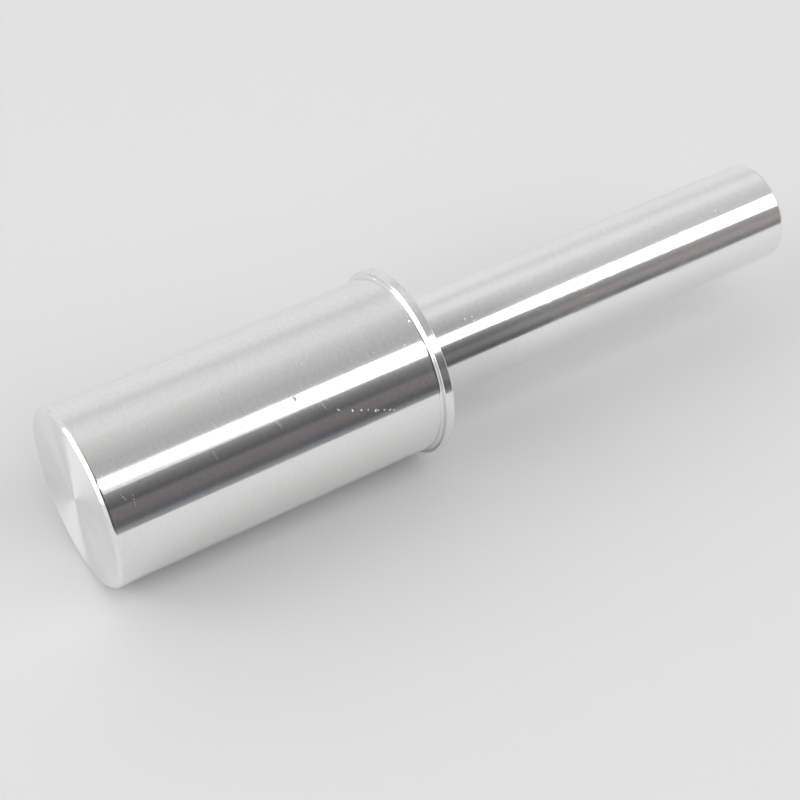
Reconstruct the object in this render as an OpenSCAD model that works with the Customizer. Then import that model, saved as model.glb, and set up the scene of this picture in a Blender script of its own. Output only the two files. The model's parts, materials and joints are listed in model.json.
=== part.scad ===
// Paddock stand spindle, turned in one piece from solid aluminium bar.
// The shank slides into the stand's socket tube, the collar stops it at the tube's mouth,
// and the pin enters the hollow wheel axle. All sizes are in millimetres.
// The origin is the middle of the shank's end face, and +Z runs along the axis to the pin's tip.

/* [Shank] */
// Diameter of the shank, a sliding fit in the socket tube
shank_d = 44; // [36:0.5:60]
// Length of the shank from its end face to the collar
shank_len = 83.7; // [40:0.1:160]
// Chamfer round the shank's end face
shank_chamfer = 1; // [0.2:0.1:4]

/* [Collar] */
// How far the collar stands out from the shank, all round
collar_step = 1.5; // [1.2:0.05:10]
// Thickness of the collar along the axis
collar_t = 2.4; // [1.5:0.1:12]
// Chamfer on the collar's outer edge, on the shank's side
collar_chamfer = 0.3; // [0.1:0.05:0.5]
// Radius of the fillet between the shank and the collar
shoulder_fillet = 0.6; // [0.1:0.05:0.7]
// Edge break on the collar's outer edge, on the pin's side
collar_break = 0.2; // [0.1:0.05:0.6]

/* [Pin] */
// Diameter of the pin, a running fit in the wheel axle
pin_d = 25.8; // [16:0.1:36]
// Length of the pin from the collar to its tip
pin_len = 110.9; // [40:0.1:180]
// Radius of the rounded edge round the pin's tip
tip_radius = 1.5; // [0.2:0.1:6]
// Radius of the fillet between the collar and the pin
root_fillet = 0.5; // [0.1:0.1:1.5]

/* [Hidden] */
$fn = 128;
shank_r = shank_d / 2;
collar_r = shank_r + collar_step;
pin_r = pin_d / 2;
collar_top = shank_len + collar_t;
overall_len = collar_top + pin_len;
turned_aluminium = [0.79, 0.80, 0.81];

// Half section of the shank, from the axis outwards
module shank_section() {
    polygon([
        [0, 0],
        [shank_r - shank_chamfer, 0],
        [shank_r, shank_chamfer],
        [shank_r, shank_len],
        [0, shank_len]
    ]);
}

// Half section of the collar
module collar_section() {
    polygon([
        [0, shank_len],
        [collar_r - collar_chamfer, shank_len],
        [collar_r, shank_len + collar_chamfer],
        [collar_r, collar_top - collar_break],
        [collar_r - collar_break, collar_top],
        [0, collar_top]
    ]);
}

// Half section of the pin, with its tip's edge rounded
module pin_section() {
    translate([0, collar_top])
        square([pin_r, pin_len - tip_radius]);
    translate([0, collar_top])
        square([pin_r - tip_radius, pin_len]);
    translate([pin_r - tip_radius, overall_len - tip_radius])
        circle(r = tip_radius);
}

// Half section of the fillet where the shank meets the collar
module shoulder_fillet_section() {
    translate([shank_r, shank_len - shoulder_fillet])
        difference() {
            square(shoulder_fillet);
            translate([shoulder_fillet, 0])
                circle(r = shoulder_fillet);
        }
}

// Half section of the fillet where the pin leaves the collar
module root_fillet_section() {
    translate([pin_r, collar_top])
        difference() {
            square(root_fillet);
            translate([root_fillet, root_fillet])
                circle(r = root_fillet);
        }
}

module spindle() {
    color(turned_aluminium)
        rotate_extrude() {
            shank_section();
            shoulder_fillet_section();
            collar_section();
            pin_section();
            root_fillet_section();
        }
}

spindle();
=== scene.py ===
"""Looks of the paddock stand spindle: one bar of aluminium, turned bright on a lathe, on a pale sheet."""
import json
import math

import bmesh
import bpy
from mathutils import Matrix, Vector


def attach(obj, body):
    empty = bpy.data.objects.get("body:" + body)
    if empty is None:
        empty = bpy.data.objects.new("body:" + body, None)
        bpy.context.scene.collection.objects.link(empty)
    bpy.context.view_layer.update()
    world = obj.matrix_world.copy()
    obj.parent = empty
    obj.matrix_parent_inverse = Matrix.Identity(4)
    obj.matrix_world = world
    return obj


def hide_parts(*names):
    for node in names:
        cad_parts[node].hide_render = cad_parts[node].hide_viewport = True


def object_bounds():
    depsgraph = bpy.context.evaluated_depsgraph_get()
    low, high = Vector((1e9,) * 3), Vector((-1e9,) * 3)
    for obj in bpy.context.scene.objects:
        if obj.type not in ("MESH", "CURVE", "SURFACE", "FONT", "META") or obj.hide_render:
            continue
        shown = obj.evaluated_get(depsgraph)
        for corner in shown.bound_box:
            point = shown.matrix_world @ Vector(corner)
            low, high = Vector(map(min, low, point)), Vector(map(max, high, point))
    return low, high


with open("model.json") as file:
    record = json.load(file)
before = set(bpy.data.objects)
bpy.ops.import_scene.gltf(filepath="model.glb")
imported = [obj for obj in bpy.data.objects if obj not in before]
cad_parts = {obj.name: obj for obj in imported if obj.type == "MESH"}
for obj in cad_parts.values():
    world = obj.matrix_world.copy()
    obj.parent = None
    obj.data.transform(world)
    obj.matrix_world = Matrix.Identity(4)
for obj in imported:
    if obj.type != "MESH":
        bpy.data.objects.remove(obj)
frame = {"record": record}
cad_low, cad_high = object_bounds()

MM = 0.001

# Sizes of the bar, from the frame's mounts and box where they give them
MOUNTS = {mount["name"]: mount for mount in frame["record"]["mounts"]}


def round_wall(name):
    """Radius, lowest and highest point of a round mount, in metres."""
    mount = MOUNTS[name]
    half = mount["dims"]["length_mm"] * MM / 2
    middle = mount["pos_m"][2]
    return mount["dims"]["r_mm"] * MM, middle - half, middle + half


SHANK_R, _, SHANK_TOP = round_wall("stand_shank")
PIN_R, PIN_BOTTOM, PIN_TOP = round_wall("axle_pin")
COLLAR_R = min(cad_high.x, cad_high.y, -cad_low.x, -cad_low.y)
TIP_Z = cad_high.z
TIP_RADIUS = TIP_Z - PIN_TOP
END_CHAMFER = 0.77 * MM
SHOULDER_FILLET = 0.6 * MM
ROOT_FILLET = 0.5 * MM
COLLAR_BOTTOM = SHANK_TOP + SHOULDER_FILLET
COLLAR_TOP = PIN_BOTTOM - ROOT_FILLET
COLLAR_CHAMFER = 0.3 * MM
COLLAR_BREAK = 0.2 * MM
FINE_ROUND = 0.05 * MM
SHANK_ROUND = 0.34 * MM
SUPPORT_GAP = 0.04 * MM
SAME_PLACE = 0.0001 * MM
MERGE_GAP = 0.00001 * MM
TURNS = 288
FILLET_STEPS = 10
EDGE_STEPS = 5
FACED_SLOPE = 0.99
SHANK_FINISH, PIN_FINISH, FACE_FINISH, SHOULDER_FINISH = range(4)


# The bar
def bar_corners():
    """Corners of the half section as (radius, height, rounding), from the shank's end to the pin's tip."""
    return [
        (0, 0, 0),
        (SHANK_R - END_CHAMFER, 0, FINE_ROUND),
        (SHANK_R, END_CHAMFER, SHANK_ROUND),
        (SHANK_R, COLLAR_BOTTOM, SHOULDER_FILLET),
        (COLLAR_R - COLLAR_CHAMFER, COLLAR_BOTTOM, FINE_ROUND),
        (COLLAR_R, COLLAR_BOTTOM + COLLAR_CHAMFER, FINE_ROUND),
        (COLLAR_R, COLLAR_TOP - COLLAR_BREAK, FINE_ROUND),
        (COLLAR_R - COLLAR_BREAK, COLLAR_TOP, FINE_ROUND),
        (PIN_R, COLLAR_TOP, ROOT_FILLET),
        (PIN_R, TIP_Z, TIP_RADIUS),
        (0, TIP_Z, 0),
    ]


def section_points(corners):
    """The corners, with a support point beside each so that flat and straight stretches shade true."""
    points = []
    for (r0, z0, round0), (r1, z1, round1) in zip(corners, corners[1:]):
        start = Vector((r0, 0, z0))
        end = Vector((r1, 0, z1))
        along = (end - start).normalized()
        points.append(start)
        points.append(start + along * (round0 + SUPPORT_GAP))
        points.append(end - along * (round1 + SUPPORT_GAP))
    points.append(end)
    return points


def ring_edges(bm, radius, height):
    """Edges of the ring at that radius and height."""
    def on_ring(vert):
        return abs(vert.co.z - height) < SAME_PLACE and abs(vert.co.xy.length - radius) < SAME_PLACE
    return [edge for edge in bm.edges if all(on_ring(vert) for vert in edge.verts)]


def make_bar():
    """The whole bar, spun from its half section, with its edges rounded and its finishes set."""
    corners = bar_corners()
    bm = bmesh.new()
    verts = [bm.verts.new(point) for point in section_points(corners)]
    edges = [bm.edges.new(pair) for pair in zip(verts, verts[1:])]
    bmesh.ops.spin(bm, geom=verts + edges, axis=(0, 0, 1), cent=(0, 0, 0), angle=2 * math.pi,
                   steps=TURNS, use_merge=True)
    bmesh.ops.remove_doubles(bm, verts=bm.verts, dist=MERGE_GAP)
    for radius, height, rounding in corners:
        if rounding:
            segments = FILLET_STEPS if rounding > SHANK_ROUND else EDGE_STEPS
            bmesh.ops.bevel(bm, geom=ring_edges(bm, radius, height), offset=rounding, segments=segments,
                            profile=0.5, affect="EDGES", material=-1)
    bmesh.ops.recalc_face_normals(bm, faces=bm.faces)
    for face in bm.faces:
        face.smooth = True
        height = face.calc_center_median().z
        if abs(face.normal.z) > FACED_SLOPE:
            on_shoulder = abs(height - COLLAR_BOTTOM) < FINE_ROUND
            face.material_index = SHOULDER_FINISH if on_shoulder else FACE_FINISH
        else:
            face.material_index = PIN_FINISH if height > COLLAR_TOP else SHANK_FINISH
    return to_mesh(bm, "spindle_bar")


def to_mesh(bm, name):
    """The finished mesh, with the working one freed."""
    mesh = bpy.data.meshes.new(name)
    bm.to_mesh(mesh)
    bm.free()
    return mesh


def show(name, mesh, *materials):
    """A new object at the origin, with its place in its mesh."""
    obj = bpy.data.objects.new(name, mesh)
    bpy.context.scene.collection.objects.link(obj)
    for material in materials:
        mesh.materials.append(material)
    return obj


def round_axis(azimuth, radius, height):
    """A point round the bar's axis, with its azimuth in degrees."""
    angle = math.radians(azimuth)
    return Vector((radius * math.cos(angle), radius * math.sin(angle), height))


# Finishes
class Nodes:
    """Short calls for adding and linking the nodes of one material or world."""

    def __init__(self, owner):
        owner.use_nodes = True
        owner.node_tree.nodes.clear()
        self.tree = owner.node_tree

    def add(self, kind, inputs=None, **settings):
        """A new node; each input takes a value or the socket that feeds it. Gives its first output."""
        node = self.tree.nodes.new("ShaderNode" + kind)
        for name, value in settings.items():
            setattr(node, name, value)
        for key, value in (inputs or {}).items():
            if isinstance(value, bpy.types.NodeSocket):
                self.tree.links.new(value, node.inputs[key])
            else:
                node.inputs[key].default_value = value
        return node.outputs[0] if node.outputs else node

    def place(self):
        """Object coordinates."""
        return self.tree.nodes.new("ShaderNodeTexCoord").outputs["Object"]

    def split(self, vector):
        """The three parts of a vector."""
        return self.add("SeparateXYZ", {0: vector}).node.outputs

    def math(self, operation, *values, **settings):
        """The result of a sum on some values."""
        return self.add("Math", dict(enumerate(values)), operation=operation, **settings)

    def spread(self, value, low, high, to_low, to_high, **settings):
        """A value moved from one range to another."""
        return self.add("MapRange", {0: value, 1: low, 2: high, 3: to_low, 4: to_high}, **settings)

    def stretched_noise(self, place, scale, detail):
        """Noise with its own scale along each axis."""
        stretched = self.add("VectorMath", {0: place, 1: scale}, operation="MULTIPLY")
        return self.add("TexNoise", {"Vector": stretched, "Scale": 1.0, "Detail": detail})

    def distance(self, place, point):
        """How far a place is from a point."""
        return self.add("VectorMath", {0: place, 1: point}, operation="DISTANCE").node.outputs["Value"]

    def tint(self, colour, shade):
        """A colour made lighter or darker."""
        return self.add("VectorMath", {0: colour, "Scale": shade}, operation="SCALE")

    def relief(self, depth, height, under=None, **settings):
        """The normal of a fine relief, laid over another one where there is one."""
        inputs = {"Strength": 1.0, "Distance": depth, "Height": height}
        if under:
            inputs["Normal"] = under
        return self.add("Bump", inputs, **settings)

    def metal(self, colour, roughness, normal):
        """Metal that blurs along the axis and stays sharp round it, as tool lines make it."""
        tangent = self.add("Tangent", direction_type="RADIAL", axis="Z")
        shader = self.add("BsdfPrincipled", {
            "Base Color": colour, "Metallic": 1.0, "Roughness": roughness, "Anisotropic": 1.0,
            "Anisotropic Rotation": 0.25, "Normal": normal, "Tangent": tangent})
        self.add("OutputMaterial", {"Surface": shader})


ALUMINIUM = (0.9, 0.9, 0.895)
PIN_ALUMINIUM = (0.95, 0.95, 0.945)
FACED_ALUMINIUM = (0.88, 0.88, 0.88)
SHANK_ROUGHNESS = 0.12
PIN_ROUGHNESS = 0.13
END_ROUGHNESS = 0.265
SHOULDER_ROUGHNESS = 0.2
TOOL_LINE_DEPTH = 0.002 * MM
RING_DEPTH = 0.003 * MM
TOOL_LINE_GRAIN = (800, 800, 6000)
PATCH_GRAIN = (60, 60, 130)
BLOTCH_GRAIN = (260, 260, 200)
SPECKLE_GRAIN = (1500, 1500, 1500)
FACE_GRAIN = (120, 120, 120)
RING_GRAIN = 1500.0
UNEVENNESS = 0.15
RUB_ROUGHNESS = 0.08
RUB_DEPTH = 0.024 * MM
NICK_STEEPNESS = 0.25

# Rubbed bands of the pin as (middle, half width), and the heights between which the painted shade on its
# front clears
PIN_RUBS = ((132, 22), (165, 18))
PAINTED_SHADE_BELOW = 98
PAINTED_SHADE_CLEAR_ABOVE = 124
PAINTED_SHADE_LEVEL = 0.8


def nick_row(count, start, end):
    """A row of nicks between two of them."""
    shares = [step / (count - 1) for step in range(count)]
    return [tuple(a + (b - a) * share for a, b in zip(start, end)) for share in shares]


# Nicks as (azimuth in degrees, height and half width in millimetres)
SHANK_NICKS = [
    (-47.7, 49.0, 0.5), (-49.3, 48.8, 0.35), (-68.0, 70.3, 0.3), (-55.0, 71.0, 0.16), (-64.5, 82.7, 0.35),
    (-52.0, 78.7, 0.2), (-65.5, 54.3, 0.25), (0.0, 23.5, 0.3), (6.5, 15.3, 0.3)]
DOTTED_ROW = [
    (-32.1, 57.9, 0.22), (-32.8, 57.6, 0.18), (-28.6, 61.0, 0.34), (-26.6, 63.1, 0.3), (-25.1, 64.7, 0.2),
    (-22.4, 66.5, 0.44), (-22.1, 67.1, 0.22), (-20.5, 68.6, 0.24), (-19.0, 70.0, 0.3), (-17.9, 71.0, 0.22)]
SHANK_SCRATCHES = [
    *nick_row(4, (-40.5, 54.6, 0.15), (-36.5, 55.0, 0.15)),
    *nick_row(4, (-40.5, 43.0, 0.15), (-37.0, 43.6, 0.15)),
    *nick_row(3, (-37.0, 4.7, 0.15), (-33.5, 5.2, 0.15)),
    *nick_row(4, (-33.9, 7.0, 0.14), (-28.0, 6.8, 0.12)),
    *nick_row(3, (-38.2, 27.0, 0.14), (-34.1, 27.3, 0.14)),
    *nick_row(2, (-52.8, 29.5, 0.16), (-51.5, 29.7, 0.14))]
PIN_NICKS = [
    (-57.5, 100.0, 0.3), (-57.0, 102.0, 0.25), (-52.0, 102.0, 0.3), (-60.0, 177.5, 0.3)]
PIN_SCRATCHES = [
    *nick_row(4, (-5.0, 109.8, 0.15), (-8.0, 111.2, 0.15)),
    *nick_row(4, (-29.4, 132.5, 0.13), (-29.8, 134.6, 0.13)),
    *nick_row(4, (-20.4, 128.4, 0.13), (-20.8, 130.5, 0.13))]
RIM_NICKS = [
    (-84.0, 85.6, 0.3), (-95.0, 85.5, 0.25), (7.5, 85.8, 0.25), (2.0, 85.9, 0.25),
    *nick_row(7, (-4.0, 85.9, 0.12), (24.0, 85.9, 0.12))]


def nick_depths(nodes, place, radius, nicks):
    """How deep each place lies in the nicks, in metres."""
    depth = None
    for azimuth, height, half_width in nicks:
        away = nodes.distance(place, round_axis(azimuth, radius, height * MM))
        deepest = half_width * MM * NICK_STEEPNESS
        dent = nodes.spread(away, 0.0, half_width * MM, deepest, 0.0, interpolation_type="SMOOTHSTEP")
        depth = nodes.math("MAXIMUM", depth, dent) if depth else dent
    return depth


def rub(nodes, place, bands, rough):
    """The roughness with rubbed bands added, and the bands' speckled relief."""
    height = nodes.split(place)["Z"]
    blotches = nodes.spread(nodes.stretched_noise(place, BLOTCH_GRAIN, 3.0), 0.35, 0.65, 0.2, 1.0)
    speckle = nodes.stretched_noise(place, SPECKLE_GRAIN, 2.0)
    relief = None
    for middle, half_width in bands:
        away = nodes.math("ABSOLUTE", nodes.math("SUBTRACT", height, middle * MM))
        band = nodes.spread(away, 0.0, half_width * MM, 1.0, 0.0, interpolation_type="SMOOTHSTEP")
        worn = nodes.math("MULTIPLY", band, blotches)
        rough = nodes.math("MULTIPLY_ADD", worn, RUB_ROUGHNESS, rough)
        relief = nodes.relief(RUB_DEPTH, nodes.math("MULTIPLY", worn, speckle), relief)
    return rough, relief


def painted_front_shade(nodes, place, radius):
    """Painted shade: the metal darkened on its front side low down beside the collar, less so towards the
    sheet, clearing above.
    """
    parts = nodes.split(place)
    low_down = nodes.spread(parts["Z"], PAINTED_SHADE_BELOW * MM, PAINTED_SHADE_CLEAR_ABOVE * MM, 1.0, 0.0,
                            interpolation_type="SMOOTHSTEP")
    in_front = nodes.spread(parts["X"], radius * 0.2, radius * 0.55, 0.0, 1.0)
    on_top = nodes.spread(parts["Y"], radius * -0.3, radius * 0.2, 1.0, 0.4)
    share = nodes.math("MULTIPLY", nodes.math("MULTIPLY", low_down, in_front), on_top)
    return nodes.spread(share, 0.0, 1.0, 1.0, PAINTED_SHADE_LEVEL)


def turned_finish(name, colour, roughness, nicks, bands=(), painted_shade_radius=None):
    """Bright aluminium with fine tool lines that run round the axis, rubbed bands and nicks, and painted
    shade on its front where a radius for it is given.
    """
    material = bpy.data.materials.new(name)
    nodes = Nodes(material)
    place = nodes.place()
    streaks = nodes.stretched_noise(place, TOOL_LINE_GRAIN, 2.0)
    patches = nodes.stretched_noise(place, PATCH_GRAIN, 3.0)
    strokes = nodes.spread(streaks, 0.52, 0.75, 1.0, 1.3)
    uneven = nodes.spread(patches, 0.3, 0.7, roughness * (1 - UNEVENNESS), roughness * (1 + UNEVENNESS))
    rough = nodes.math("MULTIPLY", strokes, uneven)
    relief = None
    if bands:
        rough, relief = rub(nodes, place, bands, rough)
    shade = nodes.spread(streaks, 0.25, 0.75, 0.92, 1.03)
    # Painted shade darkening the front side beside the collar
    if painted_shade_radius:
        shade = nodes.math("MULTIPLY", shade, painted_front_shade(nodes, place, painted_shade_radius))
    relief = nodes.relief(TOOL_LINE_DEPTH, streaks, relief)
    for radius, spots in nicks:
        relief = nodes.relief(1.0, nick_depths(nodes, place, radius, spots), relief, invert=True)
    nodes.metal(nodes.tint(colour, shade), rough, relief)
    return material


def faced_finish(name, colour, roughness):
    """Bright aluminium faced off square, with rings round the centre."""
    material = bpy.data.materials.new(name)
    nodes = Nodes(material)
    place = nodes.place()
    flat = nodes.add("VectorMath", {0: place, 1: (1, 1, 0)}, operation="MULTIPLY")
    radius = nodes.add("VectorMath", {0: flat}, operation="LENGTH").node.outputs["Value"]
    rings = nodes.add("TexNoise", {"W": radius, "Scale": RING_GRAIN, "Detail": 2.0}, noise_dimensions="1D")
    shade = nodes.spread(nodes.stretched_noise(place, FACE_GRAIN, 3.0), 0.3, 0.7, 0.97, 1.03)
    nodes.metal(nodes.tint(colour, shade), roughness, nodes.relief(RING_DEPTH, rings))
    return material


# The pale sheet under the bar, in metres
SHEET_START = Vector((0, SHANK_R, END_CHAMFER))
SHEET_ALONG = (Vector((0, COLLAR_R, COLLAR_BOTTOM + COLLAR_CHAMFER)) - SHEET_START).normalized()
SHEET_UP = Vector((1, 0, 0)).cross(SHEET_ALONG)
SHEET_GAP = 0.02 * MM
SHEET_BACK = -0.7
SHEET_LEFT = -0.6
SHEET_RIGHT = 0.8
SHEET_FRONT = 0.128
SHEET_SLANT = 0.128
PAPER = (0.595, 0.6, 0.6, 1)


def make_sheet():
    """The sheet, laid against the collar's rim and the shank's end, with its front edge cut aslant."""
    corners = [(SHEET_BACK, SHEET_LEFT), (SHEET_FRONT + SHEET_SLANT * SHEET_LEFT, SHEET_LEFT),
               (SHEET_FRONT + SHEET_SLANT * SHEET_RIGHT, SHEET_RIGHT), (SHEET_BACK, SHEET_RIGHT)]
    bm = bmesh.new()
    bm.faces.new([bm.verts.new((across, along, 0)) for across, along in corners])
    place = Matrix((Vector((1, 0, 0)), SHEET_ALONG, SHEET_UP)).transposed().to_4x4()
    place.translation = SHEET_START - SHEET_UP * SHEET_GAP
    bmesh.ops.transform(bm, matrix=place, verts=bm.verts)
    return to_mesh(bm, "sheet")


def sheet_finish():
    """Matt pale paper that lets the view through from behind."""
    material = bpy.data.materials.new("sheet_paper")
    nodes = Nodes(material)
    paper = nodes.add("BsdfDiffuse", {"Color": PAPER})
    clear = nodes.add("BsdfTransparent")
    behind = nodes.add("NewGeometry").node.outputs["Backfacing"]
    passed = nodes.add("LightPath").node.outputs["Transparent Depth"]
    either = nodes.math("ADD", behind, passed, use_clamp=True)
    nodes.add("OutputMaterial", {"Surface": nodes.add("MixShader", {0: either, 1: paper, 2: clear})})
    return material


# The studio: a pale room with panels round the bar
def make_panel(name, bm, levels, strength):
    """A glowing panel out of the camera's sight. Levels give its shade by azimuth round the bar."""
    material = bpy.data.materials.new(name)
    nodes = Nodes(material)
    parts = nodes.split(nodes.place())
    azimuth = nodes.math("ARCTAN2", parts["Y"], parts["X"])
    first = math.radians(levels[0][0])
    last = math.radians(levels[-1][0])
    ramp = nodes.add("ValToRGB", {0: nodes.spread(azimuth, first, last, 0.0, 1.0)})
    stops = ramp.node.color_ramp.elements
    while len(stops) < len(levels):
        stops.new(0.5)
    for stop, (angle, shade) in zip(stops, levels):
        stop.position = (math.radians(angle) - first) / (last - first)
        stop.color = (*shade, 1) if isinstance(shade, tuple) else (shade, shade, shade, 1)
    glow = nodes.add("Emission", {"Color": ramp, "Strength": strength})
    nodes.add("OutputMaterial", {"Surface": glow})
    panel = show(name, to_mesh(bm, name), material)
    panel.visible_camera = False
    return panel


def beside(azimuth, height, distance):
    """A point round the bar's axis, at an azimuth in degrees and a height in shares of the distance."""
    return round_axis(azimuth, distance, height * distance)


def flat_panel(name, corners, strength):
    """A flat panel of one brightness."""
    bm = bmesh.new()
    bm.faces.new([bm.verts.new(corner) for corner in corners])
    make_panel(name, bm, ((-180, 1.0), (180, 1.0)), strength)


def slanted_strip(name, distance, start, end, strength):
    """A panel along the bar: height and two azimuths at its start, and the same at its end."""
    corners = [beside(start[1], start[0], distance), beside(start[2], start[0], distance),
               beside(end[2], end[0], distance), beside(end[1], end[0], distance)]
    flat_panel(name, corners, strength)


def curved_panel(name, distance, low, high, levels):
    """A panel bent round the bar's axis between two heights, from its first level's azimuth to its last."""
    first = levels[0][0]
    turn = levels[-1][0] - first
    bm = bmesh.new()
    ends = [bm.verts.new(beside(first, height, distance)) for height in (low, high)]
    edge = bm.edges.new(ends)
    bmesh.ops.spin(bm, geom=ends + [edge], axis=(0, 0, 1), cent=(0, 0, 0), angle=math.radians(turn),
                   steps=max(2, round(turn / PANEL_STEP)))
    return make_panel(name, bm, levels, 1.0)


def fill_light(name, low, first, last, strength):
    """A bent panel that lights the sheet but isn't mirrored in the metal."""
    panel = curved_panel(name, FILL_REACH, low, FILL_TOP, ((first, strength), (last, strength)))
    panel.visible_glossy = False


# Distances of the panels from the axis in metres, and their edges in shares of that distance
FILL_REACH = 2.4
NEAR = 2.5
MIDDLE = 2.6
FAR = 2.8
PANEL_STEP = 4
CAMERA_EDGE = -1.0
STRIP_FOOT = -0.6
LOW_EDGE = -0.08
STRIP_START = 0.08
STRIP_BEND = 0.42
COLLAR_EDGE = 0.44
PIN_EDGE = 0.515
BROWN_EDGE = 0.88
TOP_EDGE = 1.1
CEILING = 2.2
FILL_TOP = 2.4
FRONT_FILL_LOW = -0.3
BACK_FILL_LOW = -0.8

# The window's reach to each side of the axis in degrees, and its lower and upper edge
WINDOW_LEFT = -45
WINDOW_RIGHT = 22
WINDOW_LOW = 0.05
WINDOW_HIGH = 1

# Brightness of the lights and of the room
STRIP_FOOT_STRENGTH = 1.2
STRIP_STRENGTH = 2.8
STRIP_SHADE_STRENGTH = 0.75
WINDOW_STRENGTH = 3.3
FRONT_FILL = 2.15
BACK_FILL = 1.3
ROOM = (0.8, 0.8, 0.8, 1)


def make_strips():
    """The strip light over the camera, dimmer at its foot and wider at its top, with a shade beside it."""
    slanted_strip("strip_light_low", NEAR, (STRIP_FOOT, -50, -42), (STRIP_START, -52, -47),
                  STRIP_FOOT_STRENGTH)
    slanted_strip("strip_light", NEAR, (STRIP_START, -52, -47), (STRIP_BEND, -54, -39), STRIP_STRENGTH)
    slanted_strip("strip_light_top", NEAR, (STRIP_BEND, -54.5, -38.5), (TOP_EDGE, -66.5, -29), STRIP_STRENGTH)
    slanted_strip("strip_shade", MIDDLE, (STRIP_START, -47, -36.4), (STRIP_BEND, -39, -36.4),
                  STRIP_SHADE_STRENGTH)


def make_overhead():
    """Grey panels over the bar, paler over the pin."""
    curved_panel("grey_panel", FAR, LOW_EDGE, COLLAR_EDGE, (
        (-178, 0.78), (-163, 0.82), (-148, 0.78), (-136.5, 0.66), (-121, 0.76), (-106, 0.755), (-100, 0.69),
        (-85, 0.57), (-70, 0.47), (-56, 0.49)))
    curved_panel("grey_panel_middle", FAR, COLLAR_EDGE, PIN_EDGE, (
        (-178, 0.78), (-163, 0.82), (-148, 0.78), (-136.5, 0.66), (-121, 0.74), (-106, 0.7), (-100, 0.6),
        (-85, 0.46), (-70, 0.38), (-56, 0.4)))
    curved_panel("pale_panel", FAR, PIN_EDGE, TOP_EDGE, (
        (-178, 0.77), (-160, 0.79), (-137, 0.68), (-118, 0.81), (-106, 0.77), (-98, 0.68), (-85, 0.61),
        (-73, 0.58), (-56, 0.6)))


def make_front():
    """Dark panels in front of the bar, brown beyond its tip, and the dim room on the camera's side."""
    curved_panel("dark_side", FAR, LOW_EDGE, COLLAR_EDGE, (
        (-38, 0.33), (-35, 0.3), (-31, 0.215), (-28, 0.17), (-20.5, 0.105), (-18.5, 0.11), (-14.5, 0.17),
        (-4, (0.17, 0.15, 0.15)), (1, 0.125), (5.5, (0.12, 0.125, 0.135)), (8, (0.19, 0.2, 0.21)),
        (12, 0.27), (35, 0.27)))
    curved_panel("dark_side_middle", FAR, COLLAR_EDGE, PIN_EDGE, (
        (-38, 0.28), (-35, 0.25), (-31, 0.18), (-28, 0.14), (-20.5, 0.085), (-18.5, 0.09), (-14.5, 0.135),
        (-4, (0.135, 0.12, 0.12)), (1, 0.1), (5.5, (0.095, 0.1, 0.11)), (8, (0.15, 0.16, 0.17)),
        (12, 0.22), (35, 0.22)))
    curved_panel("dark_side_top", FAR, PIN_EDGE, BROWN_EDGE, (
        (-38, 0.45), (-30, 0.36), (-26, 0.28), (-19, 0.24), (-13, 0.29), (-5, (0.275, 0.265, 0.265)),
        (0, 0.18), (4, (0.115, 0.12, 0.13)), (8, (0.115, 0.12, 0.13)), (12, 0.22), (35, 0.27)))
    curved_panel("brown_end", FAR, BROWN_EDGE, CEILING, ((-38, (0.5, 0.47, 0.45)), (35, (0.42, 0.39, 0.37))))
    curved_panel("camera_side", FAR, CAMERA_EDGE, LOW_EDGE, (
        (-112, 0.7), (-95, (0.45, 0.4, 0.35)), (-70, (0.27, 0.23, 0.2)), (-50, (0.2, 0.17, 0.15)),
        (-38, 0.07), (-30, 0.055), (8, 0.06), (12, 0.27)))


def make_window():
    """The window at the shank's end."""
    corners = []
    for turn, up in ((WINDOW_LEFT, WINDOW_LOW), (WINDOW_RIGHT, WINDOW_LOW),
                     (WINDOW_RIGHT, WINDOW_HIGH), (WINDOW_LEFT, WINDOW_HIGH)):
        angle = math.radians(turn)
        corners.append(Vector((math.sin(angle), -up, -math.cos(angle))) * NEAR)
    flat_panel("window", corners, WINDOW_STRENGTH)


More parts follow.
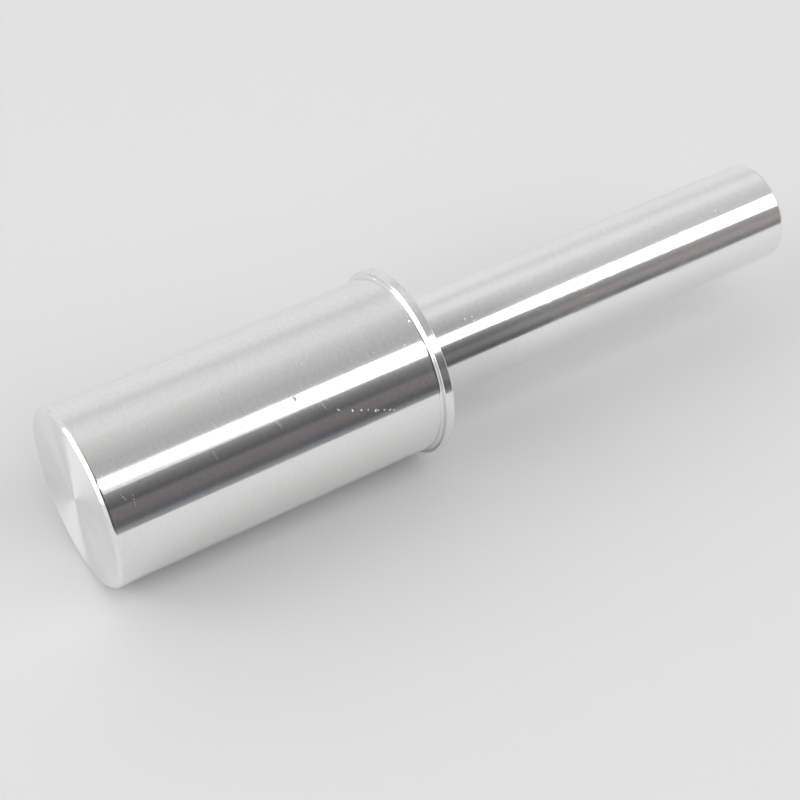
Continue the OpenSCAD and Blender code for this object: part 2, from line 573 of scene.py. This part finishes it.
def make_studio():
    """All the panels and lights, in a room of one pale grey."""
    make_strips()
    make_overhead()
    make_front()
    curved_panel("pale_top", FAR, TOP_EDGE, CEILING, ((-178, 0.62), (-38, 0.62)))
    fill_light("fill_front", FRONT_FILL_LOW, -73, -18, FRONT_FILL)
    fill_light("fill_back", BACK_FILL_LOW, -178, -135, BACK_FILL)
    make_window()
    world = bpy.data.worlds.new("pale_room")
    bpy.context.scene.world = world
    nodes = Nodes(world)
    nodes.add("OutputWorld", {"Surface": nodes.add("Background", {"Color": ROOM})})


SENSOR_WIDTH = 36.0
LENS = 79.27
CLIP_START = 0.01
CAMERA_PLACE = Vector((276.28, -273.87, -85.39)) * MM
CAMERA_AIM = Vector((12.17, 0, 77.97)) * MM
CAMERA_UP = Vector((0, -0.99978, 0.0211))


def make_camera():
    """The camera, held upright over the sheet."""
    data = bpy.data.cameras.new("camera")
    data.sensor_width = SENSOR_WIDTH
    data.lens = LENS
    data.clip_start = CLIP_START
    camera = bpy.data.objects.new("camera", data)
    bpy.context.scene.collection.objects.link(camera)
    back = (CAMERA_PLACE - CAMERA_AIM).normalized()
    right = CAMERA_UP.cross(back).normalized()
    turn = Matrix((right, back.cross(right), back)).transposed().to_4x4()
    camera.matrix_world = Matrix.Translation(CAMERA_PLACE) @ turn
    bpy.context.scene.camera = camera


# Build
shank_marks = ((SHANK_R, SHANK_NICKS + DOTTED_ROW + SHANK_SCRATCHES), (COLLAR_R, RIM_NICKS))
pin_marks = ((PIN_R, PIN_NICKS + PIN_SCRATCHES),)
bar = show("spindle_bar", make_bar(),
           turned_finish("turned_shank", ALUMINIUM, SHANK_ROUGHNESS, shank_marks),
           turned_finish("turned_pin", PIN_ALUMINIUM, PIN_ROUGHNESS, pin_marks, PIN_RUBS, PIN_R),
           faced_finish("faced_end", FACED_ALUMINIUM, END_ROUGHNESS),
           faced_finish("faced_shoulder", FACED_ALUMINIUM, SHOULDER_ROUGHNESS))
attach(bar, "root")
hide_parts("spindle")
show("sheet", make_sheet(), sheet_finish())
make_studio()
make_camera()
bpy.context.scene.view_settings.view_transform = "Standard"
